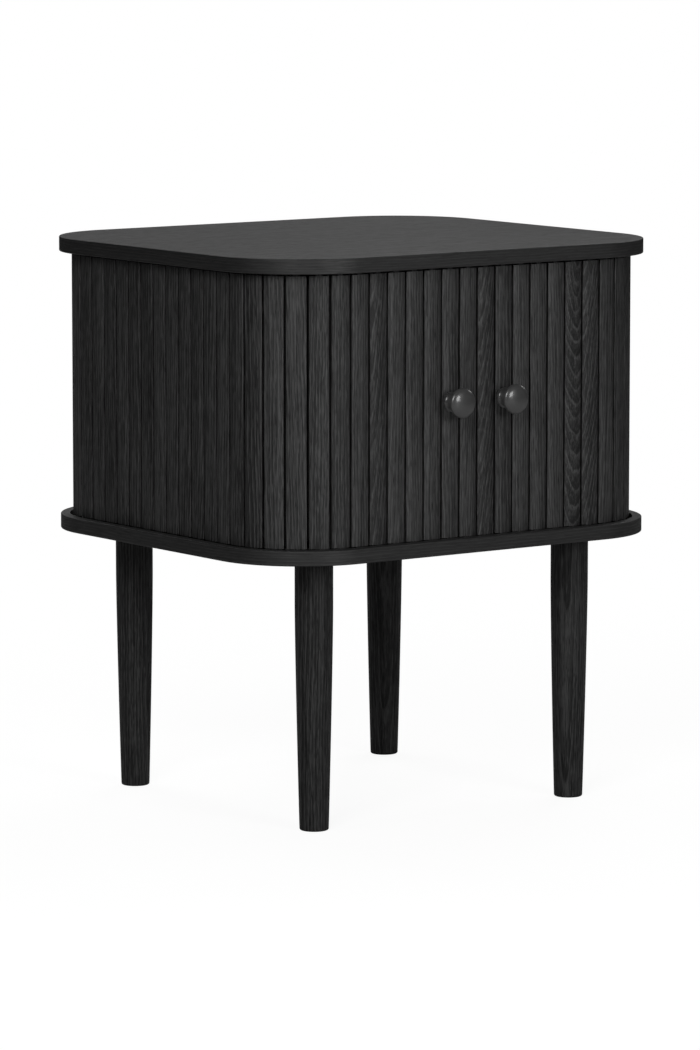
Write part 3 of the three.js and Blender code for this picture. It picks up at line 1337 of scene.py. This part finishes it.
@dataclass(frozen=True)
class Curtain:
    """One door: slats on the all-round track, tied by canvas, with a knob on the second one."""

    cabinet: Cabinet
    side: Side
    seed: int
    figured: Mapping[int, Cut]
    foot_clearance: float = 0.3 * MM
    head_clearance: float = 2.6 * MM
    knob_bore: float = 8.6 * MM
    knob_slat: int = 1
    side_slats: int = 5
    pith_distance: Spot = (70 * MM, 130 * MM)
    pith_turn_degrees: float = 50
    trunk_length: float = 1.5
    pith_lean: float = 0.02
    side_spread: Point = (40 * MM, 20 * MM, 0.5)
    bend_steps: int = 90

    def track(self) -> bpy.types.Mesh:
        """Draws the line of the slats' middles, from the middle of the front to that of the back.

        Returns:
            The line, as a mesh of edges.
        """
        radius = self.cabinet.corner_radius - self.cabinet.track_inset
        both = (radius, radius)
        x, y = self.cabinet.corner
        front = arc((x, -y), both, -1, 0, self.bend_steps)
        rear = arc((x, y), both, 0, 1, self.bend_steps)
        half = [(0.0, -y - radius), *front, *rear, (0.0, y + radius)]
        points = [(self.side.value * px, self.cabinet.middle_y + py, 0.0) for px, py in half]
        line = bpy.data.meshes.new("track")
        line.from_pydata(points, [(place, place + 1) for place in range(len(points) - 1)], [])
        return line

    def nodes_of(self, row: str) -> list[str]:
        """The nodes of a row of single slats, in order."""
        return sorted(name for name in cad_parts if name.startswith(f"{self.side.word}_{row}_slat_"))

    def cut(self, number: int) -> Cut:
        """Settles how a slat is cut: as its figure asks, or else by chance with fairly straight grain.

        Args:
            number: The slat, counted from the middle of the front.

        Returns:
            The cut.
        """
        if number in self.figured:
            return self.figured[number]
        chance = random.Random(f"{self.seed} {number}")
        distance = chance.uniform(*self.pith_distance)
        turn = math.radians(chance.uniform(-self.pith_turn_degrees, self.pith_turn_degrees))
        place = (distance * math.cos(turn), distance * math.sin(turn), chance.uniform(0, self.trunk_length))
        lean = self.pith_lean
        return Cut(place, (chance.uniform(-lean, lean), chance.uniform(-lean, lean)))

    def build_row(self, tree: SlatTree, materials: Materials, node: str, first: int, count: int = 1) -> None:
        """Builds the slats of one body and places them.

        Args:
            tree: The geometry tree.
            materials: The material of each finish.
            node: The node, which has its body's name.
            first: The first slat, counted from the middle of the front.
            count: How many slats.
        """
        low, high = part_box(node)
        knob_low, knob_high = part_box(Knob(self.side).node)
        cut = self.cut(first)
        row = SlatRow(
            first=first,
            count=count,
            side=self.side.value,
            seed=self.seed,
            pitch=self.cabinet.slat_pitch,
            thickness=self.cabinet.slat_thickness,
            bottom=self.cabinet.lower_board_top + self.foot_clearance,
            top=self.cabinet.upper_board_bottom - self.head_clearance,
            tongue_bottom=low.z,
            tongue_top=high.z,
            bore_diameter=self.knob_bore if first == self.knob_slat else 0.0,
            bore_height=(knob_low.z + knob_high.z) / 2,
            wood_place=cut.place,
            wood_lean=(*cut.lean, 0),
            wood_spread=(0, 0, 0) if count == 1 else self.side_spread,
            slat_material=materials["oak_slats"],
            canvas_material=materials["black_canvas"],
        )
        add_piece(tree.mesh(self.track(), row), node, node, "oak_slats")

    def build(self, tree: SlatTree, materials: Materials) -> None:
        """Builds the whole curtain.

        Args:
            tree: The geometry tree.
            materials: The material of each finish.
        """
        ahead = self.nodes_of("front")
        behind = self.nodes_of("rear")
        for number, node in enumerate(ahead):
            self.build_row(tree, materials, node, number)
        self.build_row(tree, materials, f"{self.side.word}_side_slats", len(ahead), self.side_slats)
        for number, node in enumerate(behind, start=len(ahead) + self.side_slats):
            self.build_row(tree, materials, node, number)
        Knob(self.side).build(materials)


def dress_hidden_nodes(materials: Materials) -> None:
    """Gives the bolts and the stop strip, which keep their own meshes, their materials.

    Args:
        materials: The material of each finish.
    """
    for name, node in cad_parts.items():
        for ending, finish in (("_leg_bolt", "zinc_steel"), ("_stop_strip", "oak_strip")):
            if name.endswith(ending):
                node.data.materials.clear()
                node.data.materials.append(materials[finish])
                log.info("%s keeps its own mesh", name)


# The studio


@dataclass(frozen=True)
class View:
    """A place to look at the cabinet from. The azimuth is 0 in front and grows to the left."""

    azimuth: float
    elevation: float
    distance: float

    def place(self, name: str, data: bpy.types.Light | bpy.types.Camera, aim: Vector) -> bpy.types.Object:
        """Puts a lamp or the camera there.

        Args:
            name: Its name.
            data: The lamp or camera.
            aim: What it looks at.

        Returns:
            The object.
        """
        turn = math.radians(self.azimuth)
        rise = math.radians(self.elevation)
        level = math.cos(rise)
        back = Vector((-math.sin(turn) * level, -math.cos(turn) * level, math.sin(rise)))
        obj = add_object(name, data)
        obj.location = aim + back * self.distance
        obj.rotation_mode = "QUATERNION"
        obj.rotation_quaternion = (-back).to_track_quat("-Z", "Y")
        return obj


@dataclass(frozen=True)
class Lamp:
    """A soft box that looks at the cabinet.

    Its strength is the light that it gives on a surface that faces it, where 1 lights a colour as it
    is written.
    """

    name: str
    view: View
    width: float
    height: float
    strength: float

    def build(self, aim: Vector) -> None:
        """Builds the lamp.

        Args:
            aim: What it looks at.
        """
        lamp = bpy.data.lights.new(self.name, "AREA")
        lamp.shape = "RECTANGLE"
        lamp.size = self.width
        lamp.size_y = self.height
        lamp.energy = self.strength * math.pi**2 * self.view.distance**2
        self.view.place(self.name, lamp, aim)


@dataclass(frozen=True)
class Studio:
    """White floor and surroundings, soft boxes, and the photograph's camera."""

    camera: View = View(36.162, 7.4206, 5.54)
    aim: Point = (0.00117, 0.0086, 0.27413)
    lens: float = 185.781
    sensor: float = 36.0
    floor_radius: float = 3.0
    floor_steps: int = 96
    floor_tone: float = 0.5
    floor_lift: float = 0.78
    floor_cover: float = 0.6
    fade_start: float = 0.5
    fade_end: float = 1.5
    ambient: float = 0.01
    lamps: tuple[Lamp, ...] = (
        Lamp("front", View(-3, 15, 3.3), 1.0, 1.0, 0.232),
        Lamp("front_left", View(51, 30, 3.3), 1.2, 1.3, 0.3),
        Lamp("left_high", View(100, 46, 3.2), 1.6, 1.6, 0.035),
        Lamp("back_high", View(180, 46, 3.2), 1.6, 1.6, 0.135),
        Lamp("back_right_high", View(-120, 46, 3.2), 1.6, 1.6, 0.17),
        Lamp("back_right_low", View(-150, 9, 3.4), 1.2, 0.9, 0.02),
        Lamp("left_spot", View(45, 10, 3.4), 0.4, 0.4, 0.02),
        Lamp("right_strip", View(-86, 27, 3.4), 0.4, 0.8, 0.04),
    )

    def build(self) -> None:
        """Builds the floor, the world, the lamps and the camera."""
        bpy.context.scene.view_settings.view_transform = "Standard"
        self.build_floor()
        self.build_world()
        for lamp in self.lamps:
            lamp.build(Vector(self.aim))
        self.build_camera()

    def build_floor(self) -> None:
        """Builds the floor, white to the camera, which keeps the shadow round the cabinet's feet."""
        mesh = bpy.data.meshes.new("floor")
        rim = circle(self.floor_radius, 0, self.floor_steps)
        mesh.from_pydata(rim, [], [tuple(range(len(rim)))])
        material = bpy.data.materials.new("white_floor")
        bench = Bench.emptied(material)
        seen = bench.value("ShaderNodeLightPath", output="Is Camera Ray")
        x, y, _ = bench.axes(bench.out("ShaderNodeTexCoord", output="Object"))
        far = ((x * x + y * y) ** 0.5).ease(self.fade_start, self.fade_end)
        tone = self.floor_tone
        paper = bench.out("ShaderNodeBsdfDiffuse", {"Color": (tone, tone, tone, 1)})
        lift = bench.out("ShaderNodeEmission", {"Strength": seen * self.floor_lift})
        near = bench.out("ShaderNodeAddShader", {0: paper, 1: lift})
        white = bench.out("ShaderNodeEmission", {"Strength": 1})
        cover = self.floor_cover + (1 - self.floor_cover) * far
        both = bench.out("ShaderNodeMixShader", {"Fac": seen * cover, 1: near, 2: white})
        bench.node("ShaderNodeOutputMaterial", {"Surface": both})
        mesh.materials.append(material)
        add_object("floor", mesh)

    def build_world(self) -> None:
        """Builds the surroundings: white to the camera, and a plain soft light to the rest."""
        world = bpy.data.worlds.new("studio")
        bench = Bench.emptied(world)
        seen = bench.value("ShaderNodeLightPath", output="Is Camera Ray")
        strength = self.ambient + seen * (1 - self.ambient)
        shade = bench.out("ShaderNodeBackground", {"Color": (1, 1, 1, 1), "Strength": strength})
        bench.node("ShaderNodeOutputWorld", {"Surface": shade})
        bpy.context.scene.world = world

    def build_camera(self) -> None:
        """Builds the camera at the photograph's place, with the photograph's lens."""
        lens = bpy.data.cameras.new("camera")
        lens.lens = self.lens
        lens.sensor_width = self.sensor
        bpy.context.scene.camera = self.camera.place("camera", lens, Vector(self.aim))


def main() -> None:
    """Builds the cabinet and the studio."""
    logging.basicConfig(level=logging.INFO, format="%(message)s")
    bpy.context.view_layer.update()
    cabinet = Cabinet.measured()
    materials = {finish.name: finish.material() for finish in FINISHES}
    Board(cabinet, "top_board", groove_on_top=False).build(materials)
    Board(cabinet, "bottom_board", groove_on_top=True).build(materials)
    Liner(cabinet).build(materials)
    for name in sorted(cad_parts):
        if name.endswith("_leg"):
            Leg(name).build(materials)
    tree = SlatTree()
    Curtain(cabinet, Side.LEFT, seed=280, figured=LEFT_FIGURES).build(tree, materials)
    Curtain(cabinet, Side.RIGHT, seed=1760, figured=RIGHT_FIGURES).build(tree, materials)
    dress_hidden_nodes(materials)
    Studio().build()


if __name__ == "__main__":
    main()
